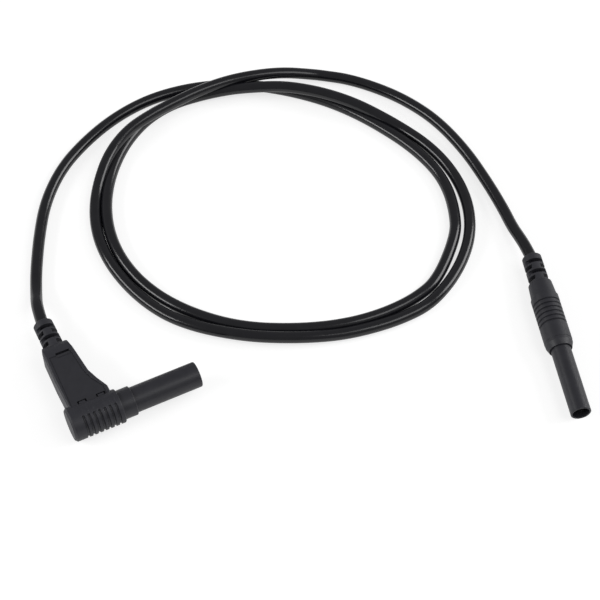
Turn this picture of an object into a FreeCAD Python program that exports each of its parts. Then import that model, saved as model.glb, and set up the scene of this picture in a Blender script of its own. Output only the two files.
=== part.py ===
import FreeCAD, Part
import math
import os
import re
import Sketcher

# A test lead: a right-angle shrouded plug, a slim straight shrouded plug and about a metre of cord.
# Each plug is drawn on its own axis, +X towards its mouth, and then placed flat on the bench.
# The right-angle plug's arm runs along its own +Y. All lengths are in millimetres.

doc = FreeCAD.newDocument("test_lead")
sheet = doc.addObject("Spreadsheet::Sheet", "size")

# Every driving size, once. A size that follows from others is a formula.
SIZES = {
    # shared
    "fit_gap": 0.05,
    "over": 1.0,
    "soft_edge": 0.2,
    "cord_radius": 1.9,
    "strand_radius": 0.75,
    "groove_depth": 0.45,
    "groove_slope": 0.12,
    "groove_floor": 0.28,
    # contact, the same 4 mm class in both plugs
    "contact_radius": 2.0,
    "neck_drop": 0.55,
    "neck_radius": "=contact_radius - neck_drop",
    "nose_drop": 0.15,
    "nose_radius": "=contact_radius - nose_drop",
    "nose_length": 4.0,
    "nose_bevel": 0.9,
    "head_rise": 0.4,
    "head_radius": "=contact_radius + head_rise",
    "neck_length": 14.0,
    "mouth_recess": 2.5,
    "spring_clearance": 0.05,
    "spring_end_gap": 0.3,
    "spring_collar": 1.3,
    "spring_slope": 1.6,
    "spring_wall": 0.24,
    "leaf_slot": 0.4,
    "slot_reach": "=1.5 * contact_radius",
    # right-angle plug
    "barrel_radius": 5.35,
    "barrel_front": 10.1,
    "barrel_rear": 6.0,
    "barrel_wall": 1.15,
    "barrel_bore": "=barrel_radius - barrel_wall",
    "barrel_bevel": 0.6,
    "barrel_pitch": 1.7,
    "barrel_first_groove": -2.3,
    "saddle_rear": 2.5,
    "saddle_front": 9.0,
    "saddle_edge": 1.6,
    "saddle_drop": 0.02,
    "cap_rim": 0.75,
    "cap_radius": "=barrel_radius - cap_rim",
    "cap_depth": 1.6,
    "cap_bevel": 0.25,
    "shroud_radius": 4.0,
    "shroud_wall": 0.85,
    "shroud_bore": "=shroud_radius - shroud_wall",
    "collar_drop": 0.75,
    "shroud_collar": "=barrel_radius - collar_drop",
    "shroud_collar_end": 14.3,
    "shroud_mouth": 35.5,
    "shroud_root": 5.0,
    "holder_rear": 3.0,
    "pin_stub": 0.5,
    "arm_step": 1.15,
    "arm_half": "=barrel_radius - arm_step",
    "arm_end": 28.2,
    "arm_edge": 0.8,
    "arm_corner": 1.8,
    "arm_floor": 1.2,
    "arm_root_left": 4.5,
    "arm_left": 4.8,
    "arm_left_y": 14.0,
    "arm_end_half": 3.6,
    "shoulder_left": 4.6,
    "shoulder_left_drop": 3.2,
    "shoulder_right": 4.65,
    "shoulder_right_drop": 4.4,
    "gusset_top_x": 5.8,
    "gusset_top_y": 13.6,
    "gusset_mid_x": 7.1,
    "gusset_mid_y": 9.9,
    "gusset_foot_x": 8.9,
    "gusset_foot_y": 6.0,
    "hollow_root": 5.6,
    "way_gap": 0.25,
    "cover_thick": 1.0,
    "cover_set": 0.15,
    "cover_ledge": 0.7,
    "cover_left": 3.7,
    "cover_right": 7.7,
    "cover_root": 3.15,
    "cover_heel": 6.2,
    "cover_mid_x": 5.6,
    "cover_mid_y": 9.9,
    "cover_top_x": 4.5,
    "cover_top_y": 13.4,
    "cover_tip_room": 1.4,
    "cover_tip_lean": 0.2,
    "cover_tip_left": "=cord_radius + cover_tip_room",
    "cover_tip_right": "=cover_tip_left + cover_tip_lean",
    "cover_tip_drop": 6.0,
    "pry_left": 1.1,
    "pry_right": 3.2,
    "pry_width": 0.8,
    "pry_depth": 1.1,
    "lip_width": 0.9,
    "lip_rise": 0.2,
    "latch_near_x": -0.1,
    "latch_far_x": 5.9,
    "latch_half": 0.95,
    "latch_end": 4.05,
    "latch_root": 0.1,
    "latch_drop": 0.2,
    "notch_half": 1.45,
    "notch_end": 4.35,
    "boot_radius": 3.25,
    "boot_taper": 0.15,
    "boot_tip_radius": "=boot_radius - boot_taper",
    "boot_edge": 0.4,
    "boot_reach": 9.4,
    "boot_tip": "=arm_end + boot_reach",
    "boot_flange_rise": 0.4,
    "boot_flange": "=boot_radius + boot_flange_rise",
    "boot_flange_thick": 1.6,
    "arm_end_wall": 3.6,
    "boot_flange_rear": "=arm_end - arm_end_wall",
    "boot_flange_front": "=boot_flange_rear - boot_flange_thick",
    "boot_slot_start": 2.4,
    "boot_slot": 1.4,
    "boot_slot_pitch": 2.05,
    "boot_slot_floor": 1.3,
    "terminal_wall": 0.75,
    "terminal_radius": "=strand_radius + terminal_wall",
    "terminal_end": 9.0,
    "terminal_floor": 3.2,
    "tang_radius": 0.9,
    "tang_end": 1.2,
    "sheath_start": 21.0,
    # straight plug
    "grip_radius": 4.4,
    "grip_rear": 8.6,
    "grip_rear_radius": 3.75,
    "grip_taper_end": 2.9,
    "grip_taper_radius": 4.15,
    "grip_first_groove": -0.7,
    "grip_pitch": 1.6,
    "grip_step": 13.6,
    "grip_step_radius": 4.3,
    "grip_bevel": 14.6,
    "grip_front": 16.4,
    "grip_front_radius": 3.65,
    "well_radius": 3.4,
    "well_depth": 0.6,
    "grip_wall": 0.95,
    "grip_bore": "=grip_radius - grip_wall",
    "slim_radius": 3.15,
    "slim_draft": 0.1,
    "slim_root_radius": "=slim_radius + slim_draft",
    "slim_wall": 0.55,
    "slim_bore": "=slim_radius - slim_wall",
    "slim_mouth": 39.4,
    "slim_edge": 0.15,
    "slim_root": 7.0,
    "slim_flange_end": 9.0,
    "slim_holder_end": 14.0,
    "slim_head_front": 4.0,
    "slim_head_rear": 2.0,
    "cup_rear": 3.0,
    "cup_floor": 1.0,
    "cup_gap": 0.3,
    "slim_boot_tip": 19.2,
    "slim_flange_rear": 5.0,
    "slim_flange_front": 3.4,
    # how the plugs lie on the bench
    "elbow_x": -64.937,
    "elbow_y": -26.597,
    "elbow_turn": 26,
    "straight_x": 74.7,
    "straight_y": 14.413,
    "straight_turn": -79.7,
    # how the cord lies on the bench
    "cord_rest": "=cord_radius + fit_gap",
    "coil_x": -7.497,
    "coil_y": 54.733,
    "coil_mean": 49.9,
    "coil_oval": 4.9,
    "coil_oval_turn": -20,
    "coil_spacing": 1.4,
    "coil_growth": "=2 * cord_radius + coil_spacing",
    "coil_lift": 0.8,
    "coil_hump": "=cord_rest + 2 * cord_radius + coil_lift",
    "coil_lead": 3.6,
    "run_from_plug": 7.4,
    "run_into_coil": 10.0,
    "run_out_of_coil": 9.4,
    "arc_share": 0.45,
}
for row, (size_name, size_value) in enumerate(SIZES.items(), start=1):
    sheet.set("A%d" % row, size_name)
    sheet.set("B%d" % row, str(size_value))
    sheet.setAlias("B%d" % row, size_name)
doc.recompute()


def full(expression):
    """Put the sheet's name before every size in a short expression."""
    return re.sub(r"[a-z_]+", lambda word: "size." * (word.group() in SIZES) + word.group(), expression)


def value(expression):
    return float(sheet.evalExpression(full(expression)))


def drive(thing, prop, expression):
    thing.setExpression(prop, full(expression))


def sketch_on(body, role, corners):
    """A closed outline of straight lines; each corner is a pair of expressions."""
    sketch = body.newObject("Sketcher::SketchObject", body.Name + "_outline")
    plane = next(item for item in body.Origin.OriginFeatures if item.Role == role)
    sketch.AttachmentSupport = [(plane, "")]
    sketch.MapMode = "FlatFace"
    spots = [FreeCAD.Vector(value(across), value(up), 0) for across, up in corners]
    count = len(spots)
    for index in range(count):
        line = Part.LineSegment(spots[index], spots[(index + 1) % count])
        sketch.addGeometry(line, False)
    for index in range(count):
        sketch.addConstraint(Sketcher.Constraint("Coincident", index, 2, (index + 1) % count, 1))
    for index, (across, up) in enumerate(corners):
        spot = spots[index]
        number = sketch.addConstraint(Sketcher.Constraint("DistanceX", -1, 1, index, 1, spot.x))
        drive(sketch, "Constraints[%d]" % number, across)
        number = sketch.addConstraint(Sketcher.Constraint("DistanceY", -1, 1, index, 1, spot.y))
        drive(sketch, "Constraints[%d]" % number, up)
    return sketch


def turned(name, corners, about="H_Axis"):
    """A solid turned from an outline on the XY plane, about the X or the Y axis."""
    body = doc.addObject("PartDesign::Body", name)
    sketch = sketch_on(body, "XY_Plane", corners)
    solid = body.newObject("PartDesign::Revolution", name + "_turned")
    solid.Profile = sketch
    solid.ReferenceAxis = (sketch, [about])
    solid.Angle = 360
    return body


def padded(name, corners, low, high):
    """A solid raised from an outline on the XY plane, from the height low to the height high."""
    body = doc.addObject("PartDesign::Body", name)
    sketch = sketch_on(body, "XY_Plane", corners)
    drive(sketch, "AttachmentOffset.Base.z", low)
    solid = body.newObject("PartDesign::Pad", name + "_raised")
    solid.Profile = sketch
    drive(solid, "Length", "( %s ) - ( %s )" % (high, low))
    return body


def rounded(body, name, upright, radius):
    """Round the body's upright edges, or all the others."""
    tip = body.Tip
    doc.recompute()
    chosen = []
    for number, edge in enumerate(tip.Shape.Edges, start=1):
        box = edge.BoundBox
        if (box.ZLength > max(box.XLength, box.YLength)) == upright:
            chosen.append("Edge%d" % number)
    soft = body.newObject("PartDesign::Fillet", name)
    soft.Base = (tip, chosen)
    drive(soft, "Radius", radius)
    return body


def block(name, x_span, y_span, z_span):
    box = doc.addObject("Part::Box", name)
    sides = {"Length": x_span, "Width": y_span, "Height": z_span}
    for axis, (side, (low, high)) in zip("xyz", sides.items()):
        drive(box, side, "( %s ) - ( %s )" % (high, low))
        drive(box, "Placement.Base." + axis, low)
    return box


UPRIGHT_TO_X = FreeCAD.Rotation(FreeCAD.Vector(0, 1, 0), 90)
UPRIGHT_TO_Y = FreeCAD.Rotation(FreeCAD.Vector(1, 0, 0), -90)


def rod(name, axis, radius, low, high):
    """A plain cylinder along the plug's X or Y axis."""
    bar = doc.addObject("Part::Cylinder", name)
    drive(bar, "Radius", radius)
    drive(bar, "Height", "( %s ) - ( %s )" % (high, low))
    rotation = UPRIGHT_TO_X if axis == "x" else UPRIGHT_TO_Y
    bar.Placement = FreeCAD.Placement(FreeCAD.Vector(0, 0, 0), rotation)
    drive(bar, "Placement.Base." + axis, low)
    return bar


def joined(name, pieces):
    whole = doc.addObject("Part::MultiFuse", name)
    whole.Shapes = pieces
    return whole


def shared(name, pieces):
    """What all the pieces have in common."""
    core = doc.addObject("Part::MultiCommon", name)
    core.Shapes = pieces
    return core


def without(name, base, tools):
    result = doc.addObject("Part::Cut", name)
    result.Base = base
    result.Tool = tools[0] if len(tools) == 1 else joined(name + "_tools", tools)
    return result


def around(centre, half):
    """A span that reaches equally far to both sides of its centre."""
    return ("%s - %s" % (centre, half), "%s + %s" % (centre, half))


PIECES = []


def piece(thing, label, plug=None):
    """Name a finished piece and lay it on the bench with its plug."""
    thing.Label = label
    if plug:
        turn = FreeCAD.Rotation(FreeCAD.Vector(0, 0, 1), value(plug + "_turn"))
        thing.Placement = FreeCAD.Placement(FreeCAD.Vector(0, 0, 0), turn)
        drive(thing, "Placement.Rotation.Angle", plug + "_turn * 1deg")
        drive(thing, "Placement.Base.x", plug + "_x")
        drive(thing, "Placement.Base.y", plug + "_y")
        drive(thing, "Placement.Base.z", REST_HEIGHT[plug])
    PIECES.append(thing)
    return thing


# Each plug rests on its thickest part.
REST_HEIGHT = {"elbow": "barrel_radius", "straight": "grip_radius"}


def grooves(first, pitch, radius, count):
    """Corners of a row of shallow grooves; their slopes and floors are shares of the pitch."""
    corners = []
    floor = "%s - groove_depth" % radius
    for index in range(count):
        start = "%s + %d * %s" % (first, index, pitch)
        corners.append((start, radius))
        corners.append(("%s + groove_slope * %s" % (start, pitch), floor))
        corners.append(("%s + ( groove_slope + groove_floor ) * %s" % (start, pitch), floor))
        corners.append(("%s + ( 2 * groove_slope + groove_floor ) * %s" % (start, pitch), radius))
    return corners


LEAF_SLOTS = 3


def spring_and_pin(plug, neck_start, head_rear, head_front, rear_corners):
    """The turned pin with its neck and nose, and the slit lantern spring that turns on the neck."""
    neck_end = "%s + neck_length" % neck_start
    tip = "%s + nose_length" % neck_end
    pin = turned(plug + "_pin_turned", rear_corners + [
        (head_rear, "head_radius"),
        (head_front, "head_radius"),
        (head_front, "contact_radius"),
        (neck_start, "contact_radius"),
        (neck_start, "neck_radius"),
        (neck_end, "neck_radius"),
        (neck_end, "nose_radius"),
        ("%s - nose_bevel" % tip, "nose_radius"),
        (tip, "nose_radius - nose_bevel"),
        (tip, "0"),
    ])
    start = "%s + spring_end_gap" % neck_start
    end = "%s - spring_end_gap" % neck_end
    rise = "%s + spring_collar" % start
    fall = "%s - spring_collar" % end
    bore = "neck_radius + spring_clearance"
    lantern = turned(plug + "_lantern", [
        (start, bore),
        (start, "%s + spring_wall" % bore),
        (rise, "%s + spring_wall" % bore),
        ("%s + spring_slope" % rise, "contact_radius"),
        ("%s - spring_slope" % fall, "contact_radius"),
        (fall, "%s + spring_wall" % bore),
        (end, "%s + spring_wall" % bore),
        (end, bore),
        (fall, bore),
        ("%s - spring_slope" % fall, "contact_radius - spring_wall"),
        ("%s + spring_slope" % rise, "contact_radius - spring_wall"),
        (rise, bore),
    ])
    slots = []
    for number in range(LEAF_SLOTS):
        angle = 180 // LEAF_SLOTS * number
        slot = doc.addObject("Part::Box", "%s_leaf_slot_%d" % (plug, number))
        drive(slot, "Length", "( %s ) - ( %s )" % (fall, rise))
        drive(slot, "Width", "leaf_slot")
        drive(slot, "Height", "2 * slot_reach")
        spin = FreeCAD.Rotation(FreeCAD.Vector(1, 0, 0), angle)
        slot.Placement = FreeCAD.Placement(FreeCAD.Vector(0, 0, 0), spin)
        across = "-0.5 * leaf_slot * cos(%d) + slot_reach * sin(%d)" % (angle, angle)
        up = "-0.5 * leaf_slot * sin(%d) - slot_reach * cos(%d)" % (angle, angle)
        drive(slot, "Placement.Base.x", rise)
        drive(slot, "Placement.Base.y", across)
        drive(slot, "Placement.Base.z", up)
        slots.append(slot)
    piece(without(plug + "_spring_slit", lantern, slots), plug + "_spring", plug)
    return pin


BOOT_SLOT_ROWS = 4


def boot_slots(prefix, axis, tip, direction):
    """Slots straight across a cord boot from opposite sides, in rows from the tip, turn about."""
    tools = []
    for row_number in range(BOOT_SLOT_ROWS):
        first = "boot_slot_start + %d * boot_slot_pitch" % row_number
        near = "%s - %s * ( %s )" % (tip, direction, first)
        far = "%s - %s * ( %s + boot_slot )" % (tip, direction, first)
        along = (far, near) if direction == "1" else (near, far)
        for side in (-1, 1):
            reach = ("boot_slot_floor", "2 * boot_radius")
            if side < 0:
                reach = ("-2 * boot_radius", "-boot_slot_floor")
            wide = ("-2 * boot_radius", "2 * boot_radius")
            z_span, cross = (reach, wide) if row_number % 2 == 0 else (wide, reach)
            x_span, y_span = (along, cross) if axis == "x" else (cross, along)
            name = "%s_boot_slot_%d_%s" % (prefix, row_number, "high" if side > 0 else "low")
            tools.append(block(name, x_span, y_span, z_span))
    return tools


# Right-angle plug: housing, one moulding of barrel and arm with its gusset, hollow inside.
# The barrel's grooves stop at a smooth saddle on the arm's side, and the arm ends in a round nose.
BARREL_GROOVES = 7
barrel = turned("barrel", [
    ("-barrel_rear", "0"),
    ("-barrel_rear", "barrel_radius - barrel_bevel"),
    ("-barrel_rear + barrel_bevel", "barrel_radius"),
] + grooves("barrel_first_groove", "barrel_pitch", "barrel_radius", BARREL_GROOVES) + [
    ("barrel_front - soft_edge", "barrel_radius"),
    ("barrel_front", "barrel_radius - soft_edge"),
    ("barrel_front", "0"),
])
saddle = shared("saddle", [
    rod("saddle_round", "x", "barrel_radius - saddle_drop", "-saddle_rear", "saddle_front"),
    block("saddle_side", ("-saddle_rear - over", "saddle_front + over"),
          ("-saddle_edge", "barrel_radius + over"), ("-barrel_radius - over", "barrel_radius + over")),
])
arm = padded("arm", [
    ("-arm_root_left", "0"),
    ("gusset_foot_x", "0"),
    ("gusset_foot_x", "gusset_foot_y"),
    ("gusset_mid_x", "gusset_mid_y"),
    ("gusset_top_x", "gusset_top_y"),
    ("shoulder_right", "arm_end - shoulder_right_drop"),
    ("arm_end_half", "arm_end"),
    ("-arm_end_half", "arm_end"),
    ("-shoulder_left", "arm_end - shoulder_left_drop"),
    ("-arm_left", "arm_left_y"),
], "-arm_half", "arm_half")
rounded(arm, "arm_corners", True, "arm_corner")
rounded(arm, "arm_rims", False, "arm_edge")
across_arm = ("-2 * barrel_radius", "2 * barrel_radius")
nose = rod("nose", "x", "arm_half", *across_arm)
drive(nose, "Placement.Base.y", "arm_end - arm_half")
behind_nose = block("behind_nose", across_arm, ("-over", "arm_end - arm_half"),
                    ("-arm_half - over", "arm_half + over"))
arm_with_nose = shared("arm_with_nose", [arm, joined("arm_room", [behind_nose, nose])])


def cover_corners(inset, root):
    """The cover's outline, drawn in by an inset on every side but the root."""
    return [
        ("-cover_left + %s" % inset, root),
        ("cover_right - %s" % inset, root),
        ("cover_right - %s" % inset, "cover_heel - 0.5 * %s" % inset),
        ("cover_mid_x - %s" % inset, "cover_mid_y - 0.5 * %s" % inset),
        ("cover_top_x - %s" % inset, "cover_top_y - 0.5 * %s" % inset),
        ("cover_tip_right - %s" % inset, "arm_end - cover_tip_drop - %s" % inset),
        ("-cover_tip_left + %s" % inset, "arm_end - cover_tip_drop - %s" % inset),
    ]


cover_low = "arm_half - cover_set - cover_thick"
cover_tip = "arm_end - cover_tip_drop"
hollow_tip = "%s - cover_ledge" % cover_tip
shell = without("elbow_shell", joined("elbow_block", [barrel, saddle, arm_with_nose]), [
    rod("barrel_bore_tool", "x", "barrel_bore", "-barrel_rear", "barrel_front + over"),
    rod("cap_seat_tool", "x", "cap_radius + fit_gap", "-barrel_rear - over", "-barrel_rear + cap_depth"),
    padded("cover_recess", cover_corners("0", "cover_root"), cover_low, "arm_half + over"),
    padded("arm_hollow", cover_corners("cover_ledge", "hollow_root"), "-arm_half + arm_floor", "arm_half"),
    block("pry_slot", ("-pry_left", "pry_right"), around(cover_tip, "pry_width"),
          ("arm_half - pry_depth", "arm_half + over")),
    rod("terminal_way", "y", "terminal_radius + way_gap", "0", "cover_heel"),
    rod("sheath_way", "y", "cord_radius + way_gap", "%s - over" % hollow_tip, "boot_flange_front"),
    rod("flange_seat_tool", "y", "boot_flange + fit_gap",
        "boot_flange_front - fit_gap", "boot_flange_rear"),
    rod("boot_way", "y", "boot_radius + fit_gap", "boot_flange_rear - over", "arm_end + over"),
])

# Two hooks stand on the recess's lower edge and show in notches of the cover.
hooks = []
for latch in ("near", "far"):
    wide = around("latch_%s_x" % latch, "latch_half")
    long = ("cover_root - latch_root", "latch_end")
    high = ("%s - latch_root" % cover_low, "arm_half - latch_drop")
    hooks.append(block(latch + "_latch", wide, long, high))
piece(joined("elbow_body_whole", [shell] + hooks), "elbow_body", "elbow")

# Right-angle plug: flat cover, set a little below the arm's face, notched round the two hooks
# and with a low lip at its tip, beside the slot that it is prised out by.
cover_plate = padded("cover_plate", cover_corners("fit_gap", "cover_root + fit_gap"), cover_low,
                     "arm_half - cover_set")
notches = []
for latch in ("near", "far"):
    wide = around("latch_%s_x" % latch, "notch_half")
    notches.append(block(latch + "_notch", wide, ("cover_root - over", "notch_end"),
                         ("%s - over" % cover_low, "arm_half + over")))
lip = block("cover_lip", ("-pry_left", "pry_right"),
            ("%s - lip_width" % cover_tip, "%s - fit_gap" % cover_tip),
            (cover_low, "arm_half - cover_set + lip_rise"))
lipped_plate = joined("cover_with_lip", [cover_plate, lip])
piece(without("elbow_cover_cut", lipped_plate, notches), "elbow_cover", "elbow")

# Right-angle plug: cap that closes the barrel's rear end and backs up the pin.
piece(turned("elbow_rear_cap_turned", [
    ("-barrel_rear", "0"),
    ("-barrel_rear", "cap_radius - cap_bevel"),
    ("-barrel_rear + cap_bevel", "cap_radius"),
    ("-barrel_rear + cap_depth", "cap_radius"),
    ("-barrel_rear + cap_depth", "contact_radius"),
    ("-holder_rear - pin_stub", "contact_radius"),
    ("-holder_rear - pin_stub", "0"),
]), "elbow_rear_cap", "elbow")

# Right-angle plug: cord boot, its flange held inside the arm's end.
elbow_boot = turned("elbow_boot_turned", [
    ("cord_radius + fit_gap", "boot_flange_front"),
    ("boot_flange", "boot_flange_front"),
    ("boot_flange", "boot_flange_rear"),
    ("boot_radius", "boot_flange_rear"),
    ("boot_tip_radius", "boot_tip - boot_edge"),
    ("boot_tip_radius - boot_edge", "boot_tip"),
    ("cord_radius + fit_gap", "boot_tip"),
], "V_Axis")
elbow_slots = boot_slots("elbow", "y", "boot_tip", "1")
piece(without("elbow_boot_cut", elbow_boot, elbow_slots), "elbow_boot", "elbow")

# Right-angle plug: safety shroud with its collar against the barrel.
piece(turned("elbow_shroud_turned", [
    ("shroud_root", "shroud_bore"),
    ("shroud_root", "barrel_bore - fit_gap"),
    ("barrel_front", "barrel_bore - fit_gap"),
    ("barrel_front", "shroud_collar"),
    ("shroud_collar_end - soft_edge", "shroud_collar"),
    ("shroud_collar_end", "shroud_collar - soft_edge"),
    ("shroud_collar_end", "shroud_radius"),
    ("shroud_mouth - soft_edge", "shroud_radius"),
    ("shroud_mouth", "shroud_radius - soft_edge"),
    ("shroud_mouth", "shroud_bore + soft_edge"),
    ("shroud_mouth - soft_edge", "shroud_bore"),
]), "elbow_shroud", "elbow")

# Right-angle plug: insulating bush that holds the pin.
piece(turned("elbow_pin_holder_turned", [
    ("holder_rear", "contact_radius + fit_gap"),
    ("holder_rear", "barrel_bore - fit_gap"),
    ("shroud_root", "barrel_bore - fit_gap"),
    ("shroud_root", "shroud_bore - fit_gap"),
    ("barrel_front", "shroud_bore - fit_gap"),
    ("barrel_front", "contact_radius + fit_gap"),
]), "elbow_pin_holder", "elbow")

# Right-angle plug: pin with a cross hole for the terminal, and its lantern spring.
elbow_neck = "shroud_mouth - mouth_recess - nose_length - neck_length"
elbow_pin = spring_and_pin("elbow", elbow_neck, "-holder_rear - pin_stub", "holder_rear", [
    ("-holder_rear - pin_stub", "0"),
])
cross_hole = rod("pin_cross_hole", "y", "tang_radius + fit_gap", "-tang_end", "head_radius + over")
piece(without("elbow_pin_drilled", elbow_pin, [cross_hole]), "elbow_pin", "elbow")

# Right-angle plug: crimp terminal, its tang in the pin and its tube round the strands.
piece(turned("elbow_terminal_turned", [
    ("0", "-tang_end"),
    ("tang_radius", "-tang_end"),
    ("tang_radius", "head_radius + fit_gap"),
    ("terminal_radius", "head_radius + fit_gap"),
    ("terminal_radius", "terminal_end"),
    ("strand_radius + fit_gap", "terminal_end"),
    ("strand_radius + fit_gap", "terminal_floor"),
    ("0", "terminal_floor"),
], "V_Axis"), "elbow_terminal", "elbow")

# Right-angle plug: the cord's own sheath and strands inside the plug.
piece(turned("elbow_cord_sheath_turned", [
    ("strand_radius + fit_gap", "sheath_start"),
    ("cord_radius", "sheath_start"),
    ("cord_radius", "boot_tip"),
    ("strand_radius + fit_gap", "boot_tip"),
], "V_Axis"), "elbow_cord_sheath", "elbow")
piece(turned("elbow_strands_turned", [
    ("0", "terminal_floor"),
    ("strand_radius", "terminal_floor"),
    ("strand_radius", "boot_tip"),
    ("0", "boot_tip"),
], "V_Axis"), "elbow_strands", "elbow")

# Straight plug: grip with a taper, grooves and a bevelled front.
GRIP_GROOVES = 6
piece(turned("straight_grip_turned", [
    ("-grip_rear", "boot_radius + fit_gap"),
    ("-grip_rear", "grip_rear_radius - soft_edge"),
    ("-grip_rear + soft_edge", "grip_rear_radius"),
    ("-grip_taper_end", "grip_taper_radius"),
    ("-grip_taper_end", "grip_radius"),
] + grooves("grip_first_groove", "grip_pitch", "grip_radius", GRIP_GROOVES) + [
    ("grip_step", "grip_radius"),
    ("grip_step", "grip_step_radius"),
    ("grip_bevel", "grip_step_radius"),
    ("grip_front", "grip_front_radius"),
    ("grip_front", "well_radius"),
    ("grip_front - well_depth", "well_radius"),
    ("grip_front - well_depth", "slim_radius + fit_gap"),
    ("slim_flange_end", "slim_root_radius + fit_gap"),
    ("slim_flange_end", "grip_bore"),
    ("-slim_flange_rear", "grip_bore"),
    ("-slim_flange_rear", "boot_radius + fit_gap"),
]), "straight_grip", "straight")

# Straight plug: cord boot, its flange held inside the grip.
straight_boot = turned("straight_boot_turned", [
    ("-slim_boot_tip", "cord_radius + fit_gap"),
    ("-slim_boot_tip", "boot_tip_radius - boot_edge"),
    ("-slim_boot_tip + boot_edge", "boot_tip_radius"),
    ("-slim_flange_rear", "boot_radius"),
    ("-slim_flange_rear", "grip_bore - fit_gap"),
    ("-slim_flange_front", "grip_bore - fit_gap"),
    ("-slim_flange_front", "cord_radius + fit_gap"),
])
slim_slots = boot_slots("straight", "x", "-slim_boot_tip", "-1")
piece(without("straight_boot_cut", straight_boot, slim_slots), "straight_boot", "straight")

# Straight plug: slim safety shroud, its flange behind the grip's front wall.
piece(turned("straight_shroud_turned", [
    ("slim_root", "slim_bore"),
    ("slim_root", "grip_bore - fit_gap"),
    ("slim_flange_end", "grip_bore - fit_gap"),
    ("slim_flange_end", "slim_root_radius"),
    ("grip_front", "slim_radius"),
    ("slim_mouth - slim_edge", "slim_radius"),
    ("slim_mouth", "slim_radius - slim_edge"),
    ("slim_mouth", "slim_bore + slim_edge"),
    ("slim_mouth - slim_edge", "slim_bore"),
]), "straight_shroud", "straight")

# Straight plug: insulating bush between the boot's flange and the shroud's root.
piece(turned("straight_pin_holder_turned", [
    ("-slim_flange_front", "head_radius + fit_gap"),
    ("-slim_flange_front", "grip_bore - fit_gap"),
    ("slim_root", "grip_bore - fit_gap"),
    ("slim_root", "slim_bore - fit_gap"),
    ("slim_holder_end", "slim_bore - fit_gap"),
    ("slim_holder_end", "contact_radius + fit_gap"),
    ("slim_head_front", "contact_radius + fit_gap"),
    ("slim_head_front", "head_radius + fit_gap"),
]), "straight_pin_holder", "straight")

# Straight plug: pin with a solder cup behind its head, and its lantern spring.
straight_neck = "slim_mouth - mouth_recess - nose_length - neck_length"
piece(spring_and_pin("straight", straight_neck, "slim_head_rear", "slim_head_front", [
    ("cup_floor", "0"),
    ("cup_floor", "strand_radius + fit_gap"),
    ("-cup_rear", "strand_radius + fit_gap"),
    ("-cup_rear", "terminal_radius"),
    ("slim_head_rear", "terminal_radius"),
]), "straight_pin", "straight")

# Straight plug: the cord's own sheath and strands inside the plug.
piece(turned("straight_cord_sheath_turned", [
    ("-slim_boot_tip", "strand_radius + fit_gap"),
    ("-slim_boot_tip", "cord_radius"),
    ("-cup_rear - cup_gap", "cord_radius"),
    ("-cup_rear - cup_gap", "strand_radius + fit_gap"),
]), "straight_cord_sheath", "straight")
piece(turned("straight_strands_turned", [
    ("-slim_boot_tip", "0"),
    ("-slim_boot_tip", "strand_radius"),
    ("cup_floor", "strand_radius"),
    ("cup_floor", "0"),
]), "straight_strands", "straight")


# Cord: a tube swept along straight runs and tangent arcs, measured against its section times its length.
def tube(label, edges):
    path = Part.Wire(edges)
    start = edges[0].valueAt(edges[0].FirstParameter)
    heading = edges[0].tangentAt(edges[0].FirstParameter)
    ring = Part.Wire([Part.Circle(start, heading, value("cord_radius")).toShape()])
    solid = path.makePipeShell([ring], True, False)
    if solid.Volume < 0:
        solid.reverse()
    section = math.pi * value("cord_radius") ** 2
    print("%s length %.1f volume ratio %.4f" % (label, path.Length, solid.Volume / (section * path.Length)))
    thing = doc.addObject("Part::Feature", label + "_tube")
    thing.Shape = solid
    thing.Placement = FreeCAD.Placement()
    return piece(thing, label)


def route_edges(label, points):
    """Straight runs between points, with a tangent arc at each inner point."""
    edges = []
    radii = []
    here = points[0]
    for before, corner, after in zip(points, points[1:], points[2:]):
        back = before - corner
        ahead = after - corner
        cut = value("arc_share") * min(back.Length, ahead.Length)
        turn = math.pi - back.getAngle(ahead)
        radii.append(cut / math.tan(turn / 2))
        back.normalize()
        ahead.normalize()
        first = corner + back * cut
        last = corner + ahead * cut
        inward = back + ahead
        inward.normalize()
        reach = radii[-1] / math.cos(turn / 2) - radii[-1]
        edges.append(Part.LineSegment(here, first).toShape())
        edges.append(Part.Arc(first, corner + inward * reach, last).toShape())
        here = last
    edges.append(Part.LineSegment(here, points[-1]).toShape())
    print("%s arc radii %s" % (label, " ".join("%.1f" % radius for radius in radii)))
    return edges


def in_plug(plug, x, y):
    """A point on a plug's axis plane, carried to where the plug lies."""
    turn = math.radians(value(plug + "_turn"))
    across = value(plug + "_x") + x * math.cos(turn) - y * math.sin(turn)
    away = value(plug + "_y") + x * math.sin(turn) + y * math.cos(turn)
    return FreeCAD.Vector(across, away, value(REST_HEIGHT[plug]))


# The coil: an oval that grows with each turn, followed clockwise from above in quarter turns.
QUARTER = 90
COIL_START = 70
COIL_STATIONS = range(1, 8)
HUMP_STATION = 4


def coil_point(angle):
    turns = (COIL_START - angle) / 360
    swing = 2 * math.radians(angle - value("coil_oval_turn"))
    radius = value("coil_mean") + value("coil_oval") * math.cos(swing) + value("coil_growth") * turns
    spot = math.radians(angle)
    rest = value("cord_rest")
    return FreeCAD.Vector(
        value("coil_x") + radius * math.cos(spot), value("coil_y") + radius * math.sin(spot), rest)


def coil_heading(angle):
    step = 0.01
    heading = coil_point(angle - step) - coil_point(angle + step)
    heading.normalize()
    return heading


stations = []
for number in COIL_STATIONS:
    angle = COIL_START - QUARTER * number
    spot = coil_point(angle)
    heading = coil_heading(angle)
    if number == HUMP_STATION:
        spot.z = value("coil_hump")
    if number == COIL_STATIONS[0]:
        lead = FreeCAD.Rotation(FreeCAD.Vector(0, 0, 1), value("coil_lead"))
        heading = lead.multVec(heading)
    stations.append((spot, heading))


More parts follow.
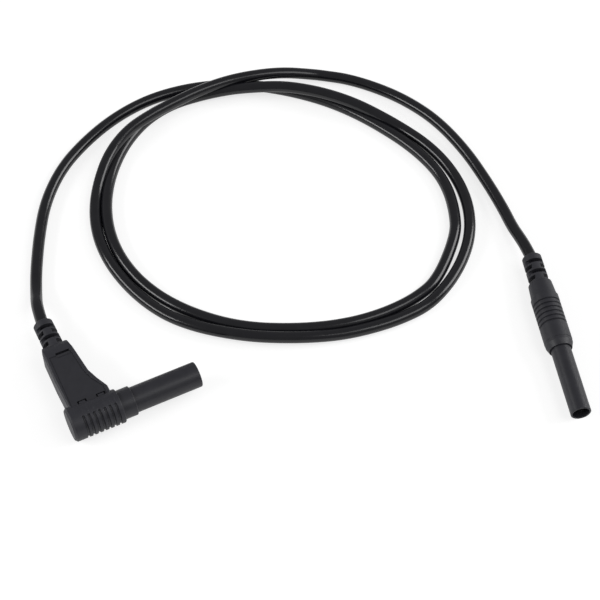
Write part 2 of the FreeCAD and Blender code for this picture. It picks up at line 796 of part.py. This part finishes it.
def biarc(start, start_heading, end, end_heading):
    """Two arcs that leave start and reach end along the given headings."""
    chord = end - start
    both = start_heading + end_heading
    a = 2 * (1 - start_heading.dot(end_heading))
    b = 2 * chord.dot(both)
    reach = (-b + math.sqrt(b * b + 4 * a * chord.dot(chord))) / (2 * a)
    middle = (start + start_heading * reach + end - end_heading * reach) * 0.5
    corners = (start + start_heading * reach, end - end_heading * reach)
    edges = []
    for low, corner, high in ((start, corners[0], middle), (middle, corners[1], end)):
        centre = (low + high) * 0.5
        rise = corner - centre
        half = (high - low).Length / 2
        turn = 2 * math.atan2(rise.Length, half)
        rise.normalize()
        edges.append(Part.Arc(low, centre + rise * (half * math.tan(turn / 4)), high).toShape())
    return edges


first_spot, first_heading = stations[0]
last_spot, last_heading = stations[-1]
straight_end = 2 * value("cord_radius")
coil_in = first_spot - first_heading * straight_end
coil_out = last_spot + last_heading * straight_end
coil_edges = [Part.LineSegment(coil_in, first_spot).toShape()]
for (low, low_heading), (high, high_heading) in zip(stations, stations[1:]):
    coil_edges += biarc(low, low_heading, high, high_heading)
coil_edges.append(Part.LineSegment(last_spot, coil_out).toShape())
tube("cord_coil", coil_edges)


STEP_ALONG = 1.0
NOT_NEIGHBOURS = 40.0


def own_gap(edges, spacing, apart):
    """The least distance between stretches of the tube's own surface that are not neighbours."""
    points = []
    for edge in edges:
        points += edge.discretize(max(2, int(edge.Length / spacing)))
    travelled = [0.0]
    for before, after in zip(points, points[1:]):
        travelled.append(travelled[-1] + (after - before).Length)
    least = None
    for index, point in enumerate(points):
        for other in range(index + 1, len(points)):
            if travelled[other] - travelled[index] > apart:
                distance = (points[other] - point).Length
                least = distance if least is None else min(least, distance)
    return least - 2 * value("cord_radius")


print("cord_coil least gap to itself %.2f mm" % own_gap(coil_edges, STEP_ALONG, NOT_NEIGHBOURS))

# Free stretch from the right-angle plug, under the coil, to the coil's inner end.
rest = value("cord_rest")
LEAD_IN = [
    (-86.48, 24.62, 2.7),
    (-86.58, 39.12, rest),
    (-85.38, 56.12, rest),
    (-80.78, 72.62, rest),
    (-72.38, 87.02, rest),
    (-61.58, 98.92, rest),
    (-47.38, 106.12, rest),
    (-31.98, 109.02, rest),
    (-16.88, 109.02, rest),
    (-2.38, 106.02, rest),
    (11.22, 99.92, rest),
    (22.62, 92.22, rest),
    (33.02, 83.12, rest),
    (41.42, 72.12, rest),
    (46.32, 61.72, rest),
]
lead_in = [in_plug("elbow", 0, value("boot_tip"))]
lead_in.append(in_plug("elbow", 0, value("boot_tip") + value("run_from_plug")))
lead_in += [FreeCAD.Vector(*spot) for spot in LEAD_IN]
lead_in.append(coil_in - first_heading * value("run_into_coil"))
lead_in.append(coil_in)
tube("cord_to_elbow", route_edges("cord_to_elbow", lead_in))

# Free stretch from the coil's outer end, up over the coil and down to the straight plug.
LEAD_OUT = [
    (-57.48, 96.12, 3.6),
    (-47.18, 102.72, 6.3),
    (-33.18, 107.62, 8.2),
    (-20.18, 111.62, 7.2),
    (-6.88, 114.02, 4.9),
    (6.62, 113.72, 2.6),
    (20.22, 110.32, rest),
    (33.62, 103.02, rest),
    (45.22, 92.12, rest),
    (54.22, 78.32, rest),
    (61.72, 63.32, rest),
    (67.32, 49.92, 2.5),
]
lead_out = [coil_out, coil_out + last_heading * value("run_out_of_coil")]
lead_out += [FreeCAD.Vector(*spot) for spot in LEAD_OUT]
lead_out.append(in_plug("straight", -value("slim_boot_tip") - value("run_from_plug"), 0))
lead_out.append(in_plug("straight", -value("slim_boot_tip"), 0))
tube("cord_to_straight", route_edges("cord_to_straight", lead_out))

# Everything is rebuilt and looked over before any file is written.
doc.recompute()
for thing in doc.Objects:
    if any(word in ("Invalid", "Error") for word in thing.State):
        raise SystemExit("object %s is in a bad state: %s" % (thing.Label, thing.State))
for thing in PIECES:
    if thing.Shape.isNull() or not thing.Shape.isValid():
        raise SystemExit("piece %s has no valid shape" % thing.Label)
    if len(thing.Shape.Solids) != 1:
        raise SystemExit("piece %s has %d solids" % (thing.Label, len(thing.Shape.Solids)))

os.makedirs("parts", exist_ok=True)
for thing in PIECES:
    thing.Shape.exportStep("parts/%s.step" % thing.Label)
plugs = FreeCAD.BoundBox()
for thing in PIECES:
    if not thing.Label.startswith("cord_"):
        plugs.add(thing.Shape.BoundBox)
print("plugs x %.3f to %.3f, y %.3f to %.3f, z %.3f to %.3f" % (
    plugs.XMin, plugs.XMax, plugs.YMin, plugs.YMax, plugs.ZMin, plugs.ZMax))
print("%d pieces written" % len(PIECES))
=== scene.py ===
import math

import bmesh
import bpy
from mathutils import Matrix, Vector


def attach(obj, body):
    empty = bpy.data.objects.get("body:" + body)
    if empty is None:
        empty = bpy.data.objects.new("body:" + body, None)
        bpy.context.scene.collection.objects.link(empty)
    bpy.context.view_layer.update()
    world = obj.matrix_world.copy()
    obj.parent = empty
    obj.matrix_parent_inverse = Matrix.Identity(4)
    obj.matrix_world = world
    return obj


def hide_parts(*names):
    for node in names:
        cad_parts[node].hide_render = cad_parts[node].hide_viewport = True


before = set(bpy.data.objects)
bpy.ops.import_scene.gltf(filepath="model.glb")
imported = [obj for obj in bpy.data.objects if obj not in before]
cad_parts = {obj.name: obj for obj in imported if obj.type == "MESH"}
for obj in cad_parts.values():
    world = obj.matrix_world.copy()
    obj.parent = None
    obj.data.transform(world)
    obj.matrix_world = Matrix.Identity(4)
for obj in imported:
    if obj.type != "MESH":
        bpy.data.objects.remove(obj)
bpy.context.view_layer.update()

# The camera looks down at the bench from the front, through a long lens.
# It stands 55 degrees up, so the round coil is seen as a wide oval.
LOOK_DOWN = math.radians(55)
STAND_OFF = 0.551
AIM = Vector((-0.0021, 0.0200, 0.0))
camera_data = bpy.data.cameras.new("camera")
camera_data.lens = 105
camera_data.sensor_width = 36
camera_data.clip_start = 0.02
camera = bpy.data.objects.new("camera", camera_data)
camera.location = AIM + STAND_OFF * Vector((0, -math.cos(LOOK_DOWN), math.sin(LOOK_DOWN)))
camera.rotation_euler = (math.pi / 2 - LOOK_DOWN, 0, 0)
bpy.context.collection.objects.link(camera)
bpy.context.scene.camera = camera

# The cord is one length of flexible wire in a glossy black jacket, drawn on by an extruder.
# It leaves the right-angle plug, goes twice round in loose turns and ends in the straight plug.
# Each turn lies on the bench, and passes over an earlier one in a long low hump.
CORD_DIAMETER = 0.0038
CORD_REST = 0.00195
ELBOW_EXIT = (-0.08142, 0.00720, 0.00535)
STRAIGHT_EXIT = (0.07127, 0.03330, 0.0044)
CORD_FROM_ELBOW = [
    ELBOW_EXIT,
    (-0.0837, 0.0133, 0.0052),
    (-0.0850, 0.0210, 0.0021),
    (-0.0858, 0.0300, CORD_REST),
    (-0.0860, 0.0440, CORD_REST),
    (-0.0851, 0.0580, CORD_REST),
    (-0.0810, 0.0718, CORD_REST),
    (-0.0742, 0.0829, CORD_REST),
    (-0.0659, 0.0927, CORD_REST),
    (-0.0561, 0.1005, CORD_REST),
    (-0.0460, 0.1053, CORD_REST),
    (-0.0344, 0.1082, CORD_REST),
    (-0.0212, 0.1090, CORD_REST),
    (-0.0080, 0.1067, CORD_REST),
    (0.0050, 0.1024, CORD_REST),
    (0.0160, 0.0966, CORD_REST),
    (0.0263, 0.0891, CORD_REST),
    (0.0355, 0.0809, CORD_REST),
    (0.0428, 0.0716, CORD_REST),
    (0.0466, 0.0627, CORD_REST),
    (0.0482, 0.0530, CORD_REST),
    (0.0481, 0.0440, CORD_REST),
]
CORD_TO_STRAIGHT = [
    (0.0066, 0.1126, 0.00225),
    (0.0147, 0.1113, CORD_REST),
    (0.0250, 0.1070, CORD_REST),
    (0.0347, 0.1011, CORD_REST),
    (0.0443, 0.0924, CORD_REST),
    (0.0530, 0.0796, CORD_REST),
    (0.0594, 0.0662, CORD_REST),
    (0.0639, 0.0552, CORD_REST),
    (0.0663, 0.0474, 0.0024),
    (0.0684, 0.0418, 0.0036),
    (0.0699, 0.0374, 0.0044),
    STRAIGHT_EXIT,
]

# The turns are ovals about one centre that grow as they go round, a little egg-shaped. In a few
# places a turn bows out or in: its angle in degrees, how far in metres, and how wide in degrees.
COIL_CENTRE = Vector((-0.00774, 0.05490, 0.0))
COIL_START = -30
COIL_END = -640
COIL_STEP = 10
TURN_ZERO = 70
TURN_RADIUS = 0.0506
TURN_GROWTH = 0.0036
OVAL = 0.0052
OVAL_LEAN = 11
EGG = 0.0006
EGG_LEAN = 10
BOWS = [
    (-32, 0.0009, 14),
    (-105, 0.0005, 14),
    (-135, 0.0003, 30),
    (-215, 0.0008, 24),
    (-229, 0.0034, 23),
    (-259, -0.0007, 6),
    (-301, -0.0010, 15),
    (-372, 0.0006, 22),
    (-400, 0.0015, 11),
    (-463, 0.0006, 18),
    (-488, 0.0012, 17),
    (-525, 0.0004, 22),
]

# The last part of the second turn drops back on to the first, and then crosses it outwards.
DROP_BACK = (560, 600)
DROP_RADIUS = 0.0555
CROSS_OUT = (618, 650)
CROSS_WIDENING = 0.0045

# Two humps over earlier stretches, and between them a lean on the first turn at the front:
# the degrees where each rise starts and ends and where its fall does, and its height in metres.
HUMPS = [
    (236, 266, 294, 323, 0.0040),
    (425, 450, 470, 495, 0.0010),
    (546, 570, 622, 646, 0.0040),
]


def eased(value, start, end):
    """0 before start, 1 after end, and a smooth rise between them."""
    share = min(1, max(0, (value - start) / (end - start)))
    return share * share * (3 - 2 * share)


def coil_point(angle):
    """A point of the coil, in the order in which the cord runs: clockwise from its right side."""
    gone = -angle
    radius = TURN_RADIUS + TURN_GROWTH * (TURN_ZERO - angle) / 360
    radius += OVAL * math.cos(2 * math.radians(angle + OVAL_LEAN))
    radius += EGG * math.cos(3 * math.radians(angle + EGG_LEAN))
    for middle, reach, width in BOWS:
        radius += reach * math.exp(-((angle - middle) / width) ** 2)
    crossing = DROP_RADIUS + CROSS_WIDENING * eased(gone, *CROSS_OUT)
    radius += eased(gone, *DROP_BACK) * (crossing - radius)
    height = CORD_REST
    for rise_start, rise_end, fall_start, fall_end, lift in HUMPS:
        height += lift * eased(gone, rise_start, rise_end) * (1 - eased(gone, fall_start, fall_end))
    turn = math.radians(angle)
    return COIL_CENTRE + Vector((radius * math.cos(turn), radius * math.sin(turn), height))


route = [Vector(point) for point in CORD_FROM_ELBOW]
for angle in range(COIL_START, COIL_END - 1, -COIL_STEP):
    route.append(coil_point(angle))
route += [Vector(point) for point in CORD_TO_STRAIGHT]

cord_curve = bpy.data.curves.new("cord", "CURVE")
cord_curve.dimensions = "3D"
cord_curve.bevel_depth = 1.0
cord_curve.bevel_resolution = 8
cord_curve.use_fill_caps = True
cord_curve.resolution_u = 8
line = cord_curve.splines.new("NURBS")
line.points.add(len(route) - 1)
for point, spot in zip(line.points, route):
    point.co = spot.to_4d()
    point.radius = CORD_DIAMETER / 2
line.order_u = 3
line.use_endpoint_u = True
cord = bpy.data.objects.new("cord", cord_curve)
bpy.context.collection.objects.link(cord)
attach(cord, "lead")
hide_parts("cord_to_elbow", "cord_coil", "cord_to_straight")


class Wire:
    """A socket in a material's nodes. Arithmetic on wires adds the Math nodes that it needs."""

    def __init__(self, tree, socket=None):
        self.tree = tree
        self.socket = socket

    def node(self, kind, sockets, output=0, **settings):
        """Adds a node, sets it up, fills its sockets with values or wires and gives one output."""
        made = self.tree.nodes.new("ShaderNode" + kind)
        for name, setting in settings.items():
            setattr(made, name, setting)
        for name, value in sockets.items():
            if isinstance(value, Wire):
                self.tree.links.new(value.socket, made.inputs[name])
            else:
                made.inputs[name].default_value = value
        return Wire(self.tree, made.outputs[output] if output is not None else None)

    def math(self, operation, first, second=0.0):
        return self.node("Math", {0: first, 1: second}, operation=operation)

    def __add__(self, other):
        return self.math("ADD", self, other)

    def __mul__(self, other):
        return self.math("MULTIPLY", self, other)

    def __sub__(self, other):
        return self.math("SUBTRACT", self, other)

    def __rsub__(self, other):
        return self.math("SUBTRACT", other, self)

    __radd__ = __add__
    __rmul__ = __mul__


def new_finish(name):
    """An empty material and its Object coordinates."""
    material = bpy.data.materials.new(name)
    material.use_nodes = True
    material.node_tree.nodes.clear()
    return material, Wire(material.node_tree).node("TexCoord", {}, "Object")


def cover_with(surface, sockets):
    """Ends a material in one Principled shader."""
    shader = surface.node("BsdfPrincipled", sockets, "BSDF")
    surface.node("OutputMaterial", {"Surface": shader}, None)


def speckle(place, grain, detail=3.0):
    """Noise with grains of the given size in metres, from 0 to 1."""
    return place.node("TexNoise", {"Vector": place, "Scale": 1 / grain, "Detail": detail}, "Fac")


def raised(height, distance, **sockets):
    """A bump that stands the given distance in metres high where the height is 1."""
    return height.node("Bump", {"Height": height, "Distance": distance, **sockets}, "Normal")


# How much more blue than red or green the black plastics hold.
COOL = 1.3


def shade(amount, dark, light):
    """A colour between two bluish greys."""
    ends = {"A": (dark, dark, dark * COOL, 1), "B": (light, light, light * COOL, 1)}
    return amount.node("Mix", {"Factor": amount, **ends}, 2, data_type="RGBA")


# The jacket is soft and glossy: deep black, with a shine that wavers a little along the wire.
# The stretches inside the plugs are the same wire.
WAVER_LENGTH = 0.004
JACKET_GRAIN = 0.0006
JACKET_RELIEF = 0.00005
cord_finish, place = new_finish("cord_jacket")
waver = speckle(place, WAVER_LENGTH, detail=2.0)
fine = speckle(place, JACKET_GRAIN)
cover_with(place, {
    "Base Color": shade(waver, dark=0.006, light=0.011),
    "Roughness": 0.15 + 0.07 * waver,
    "Normal": raised(waver + 0.1 * fine, JACKET_RELIEF),
})
cord_curve.materials.append(cord_finish)


def finish_nodes(finish, *names):
    """Gives carried-over parts their material."""
    for name in names:
        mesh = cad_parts[name].data
        mesh.materials.clear()
        mesh.materials.append(finish)


finish_nodes(cord_finish, "elbow_cord_sheath", "straight_cord_sheath")

# Right-angle plug: a glass-filled nylon housing with a ribbed barrel, and a flat cover and a round
# rear cap of the same plastic snapped into it. The skin is spark-eroded, and handling rubs its
# edges smoother; the edges are also painted paler, partly as wear and partly as a painted sheen.
# A fine parting line runs round the housing at the height of the barrel's axis.
ELBOW_AXIS_HEIGHT = 0.00535
PATCH_SIZE = 0.0025
PATCH_RELIEF = 0.4
PATCH_ROUGHNESS = 0.14
SEAM_WIDTH = 0.00008
SEAM_HEIGHT = 0.00004

# An edge is where the rounded normal leans away from the face's own. The edge mask starts at one cosine
# of that lean and is full at another. It makes the edge smoother, as rubbing does, and paler: partly rub
# wear and partly a painted sheen of light along every edge.
EDGE_SOFTNESS = 0.00015
EDGE_START = 0.995
EDGE_FULL = 0.93
EDGE_SHEEN_AND_WEAR = 0.5
EDGE_POLISH = 0.08


def moulded(name, dark, light, roughness, grain, relief, seam=None):
    """Moulded black plastic: a fine skin, softened edges that are rubbed smoother and painted paler (part
    wear, part painted sheen), and a parting line at seam.
    """
    finish, place = new_finish(name)
    patches = speckle(place, PATCH_SIZE)
    skin = speckle(place, grain)
    soft = place.node("Bevel", {"Radius": EDGE_SOFTNESS}, "Normal", samples=4)
    true = place.node("NewGeometry", {}, "Normal")
    facing = place.node("VectorMath", {0: soft, 1: true}, "Value", operation="DOT_PRODUCT")
    edge = place.node("MapRange", {"Value": facing, "From Min": EDGE_START, "From Max": EDGE_FULL},
                      "Result")
    height = skin + PATCH_RELIEF * patches
    if seam is not None:
        level = place.node("SeparateXYZ", {"Vector": place}, "Z")
        off = level.math("ABSOLUTE", level - seam)
        line = place.node("MapRange", {"Value": off, "From Min": SEAM_WIDTH, "From Max": 0.0}, "Result")
        height = height + SEAM_HEIGHT / relief * line
    cover_with(place, {
        # Paler edges in the base colour: partly rub wear, partly a painted sheen of light on every edge.
        "Base Color": shade(patches + EDGE_SHEEN_AND_WEAR * edge, dark, light),
        "Roughness": roughness + PATCH_ROUGHNESS * patches - EDGE_POLISH * edge,
        "Normal": raised(height, relief, Normal=soft),
    })
    return finish


housing_finish = moulded("housing_plastic", dark=0.017, light=0.026, roughness=0.42,
                         grain=0.00016, relief=0.00002, seam=ELBOW_AXIS_HEIGHT)
cover_finish = moulded("cover_plastic", dark=0.015, light=0.022, roughness=0.46,
                       grain=0.0002, relief=0.00002)
finish_nodes(housing_finish, "elbow_body", "elbow_rear_cap")
finish_nodes(cover_finish, "elbow_cover")

# Both safety shrouds: smooth tubes of polyamide, drawn off a polished core, so they shine more
# than the housings and carry no parting line.
shroud_finish = moulded("shroud_plastic", dark=0.016, light=0.023, roughness=0.36,
                        grain=0.0003, relief=0.00001)
finish_nodes(shroud_finish, "elbow_shroud", "straight_shroud")

# Straight plug: the grip is one tube of the same satin plastic as the housing, grooved for the
# fingers. The two halves of its mould leave a parting line at the height of its axis.
STRAIGHT_AXIS_HEIGHT = 0.0044
grip_finish = moulded("grip_plastic", dark=0.016, light=0.025, roughness=0.42,
                      grain=0.00016, relief=0.00002, seam=STRAIGHT_AXIS_HEIGHT)
finish_nodes(grip_finish, "straight_grip")

# Cord boots: soft rubbery plastic moulded over the wire, held in the plugs by a flange
# and slotted crosswise so that they bend.
boot_finish = moulded("boot_rubber", dark=0.017, light=0.027, roughness=0.52,
                      grain=0.00022, relief=0.00003)
finish_nodes(boot_finish, "elbow_boot", "straight_boot")

# Insulating bushes: matt black plastic, pressed round the pins and out of sight behind
# the shrouds.
bush_finish = moulded("bush_plastic", dark=0.018, light=0.03, roughness=0.6,
                      grain=0.0003, relief=0.00003)
finish_nodes(bush_finish, "elbow_pin_holder", "straight_pin_holder")

# Contacts: brass pins turned on a lathe and the crimp terminal, all nickel plated. The lantern
# springs are beryllium copper strip, slit, rolled and plated brighter.
CLOUD_SIZE = 0.0008
CLOUD_ROUGHNESS = 0.12
TURNED_GRAIN = 0.00007
TURNED_ROUGHNESS = 0.05
TURNED_RELIEF = 0.000008


def plated(name, dark, light, warmth, roughness):
    """Bare or plated metal with a fine grain and faint clouds, redder the lower its warmth is."""
    finish, place = new_finish(name)
    cloud = speckle(place, CLOUD_SIZE)
    grain = speckle(place, TURNED_GRAIN, detail=2.0)
    tint = (1, warmth, warmth * warmth)
    ends = {
        "A": (*[dark * part for part in tint], 1),
        "B": (*[light * part for part in tint], 1),
    }
    cover_with(place, {
        "Base Color": place.node("Mix", {"Factor": cloud, **ends}, 2, data_type="RGBA"),
        "Metallic": 1.0,
        "Roughness": roughness + CLOUD_ROUGHNESS * cloud + TURNED_ROUGHNESS * grain,
        "Normal": raised(grain + cloud, TURNED_RELIEF),
    })
    return finish


nickel_finish = plated("contact_nickel", dark=0.5, light=0.62, warmth=0.97, roughness=0.2)
spring_finish = plated("spring_nickel", dark=0.56, light=0.68, warmth=0.97, roughness=0.16)
finish_nodes(nickel_finish, "elbow_pin", "straight_pin", "elbow_terminal")
finish_nodes(spring_finish, "elbow_spring", "straight_spring")

# Conductors: fine bare copper wires twisted into one strand, crimped in the right-angle
# plug's terminal and soldered into the straight plug's pin.
copper_finish = plated("strand_copper", dark=0.55, light=0.72, warmth=0.6, roughness=0.3)
finish_nodes(copper_finish, "elbow_strands", "straight_strands")

# The bench is plain and pale. Its own glow takes it to white and leaves the plugs' soft shadows.
BENCH_RADIUS = 3.0
BENCH_GREY = (0.45, 0.45, 0.45, 1)
WHITE = (1, 1, 1, 1)
BENCH_GLOW = 0.72
BENCH_GLOSS = 0.5
bench_mesh = bpy.data.meshes.new("bench")
shape = bmesh.new()
bmesh.ops.create_circle(shape, cap_ends=True, radius=BENCH_RADIUS, segments=64)
shape.to_mesh(bench_mesh)
shape.free()
bench = bpy.data.objects.new("bench", bench_mesh)
bpy.context.collection.objects.link(bench)
bench_finish, place = new_finish("bench")
glow = BENCH_GLOW * place.node("LightPath", {}, "Is Camera Ray")
glow = glow + BENCH_GLOSS * place.node("LightPath", {}, "Is Glossy Ray")
lit = place.node("BsdfDiffuse", {"Color": BENCH_GREY}, "BSDF")
own = place.node("Emission", {"Color": WHITE, "Strength": glow}, "Emission")
both = place.node("AddShader", {0: lit, 1: own}, "Shader")
place.node("OutputMaterial", {"Surface": both}, None)
bench_mesh.materials.append(bench_finish)

# Softboxes stand at both sides and high in front, in a pale room.
BOX_DISTANCE = 1.2


def softbox(name, around, up, width, height, power):
    """A lamp aimed at the coil: its bearing and height in degrees, its size and its power."""
    lamp_data = bpy.data.lights.new(name, "AREA")
    lamp_data.shape = "RECTANGLE"
    lamp_data.size = width
    lamp_data.size_y = height
    lamp_data.energy = power
    lamp = bpy.data.objects.new(name, lamp_data)
    bearing = math.radians(around)
    rise = math.radians(up)
    out = Vector((math.cos(rise) * math.cos(bearing), math.cos(rise) * math.sin(bearing), math.sin(rise)))
    lamp.location = COIL_CENTRE + BOX_DISTANCE * out
    lamp.rotation_euler = out.to_track_quat("Z", "Y").to_euler()
    bpy.context.collection.objects.link(lamp)


softbox("left softbox", around=193, up=31, width=0.9, height=0.32, power=6.2)
softbox("right softbox", around=14, up=28, width=0.8, height=0.6, power=7.0)
softbox("front softbox", around=-32, up=54, width=0.6, height=0.45, power=2.2)

ROOM_LIGHT = 0.28
world = bpy.data.worlds.new("studio")
world.use_nodes = True
world.node_tree.nodes.clear()
sky = Wire(world.node_tree)
air = sky.node("Background", {"Color": WHITE, "Strength": ROOM_LIGHT}, "Background")
sky.node("OutputWorld", {"Surface": air}, None)
bpy.context.scene.world = world

bpy.context.scene.view_settings.view_transform = "Standard"
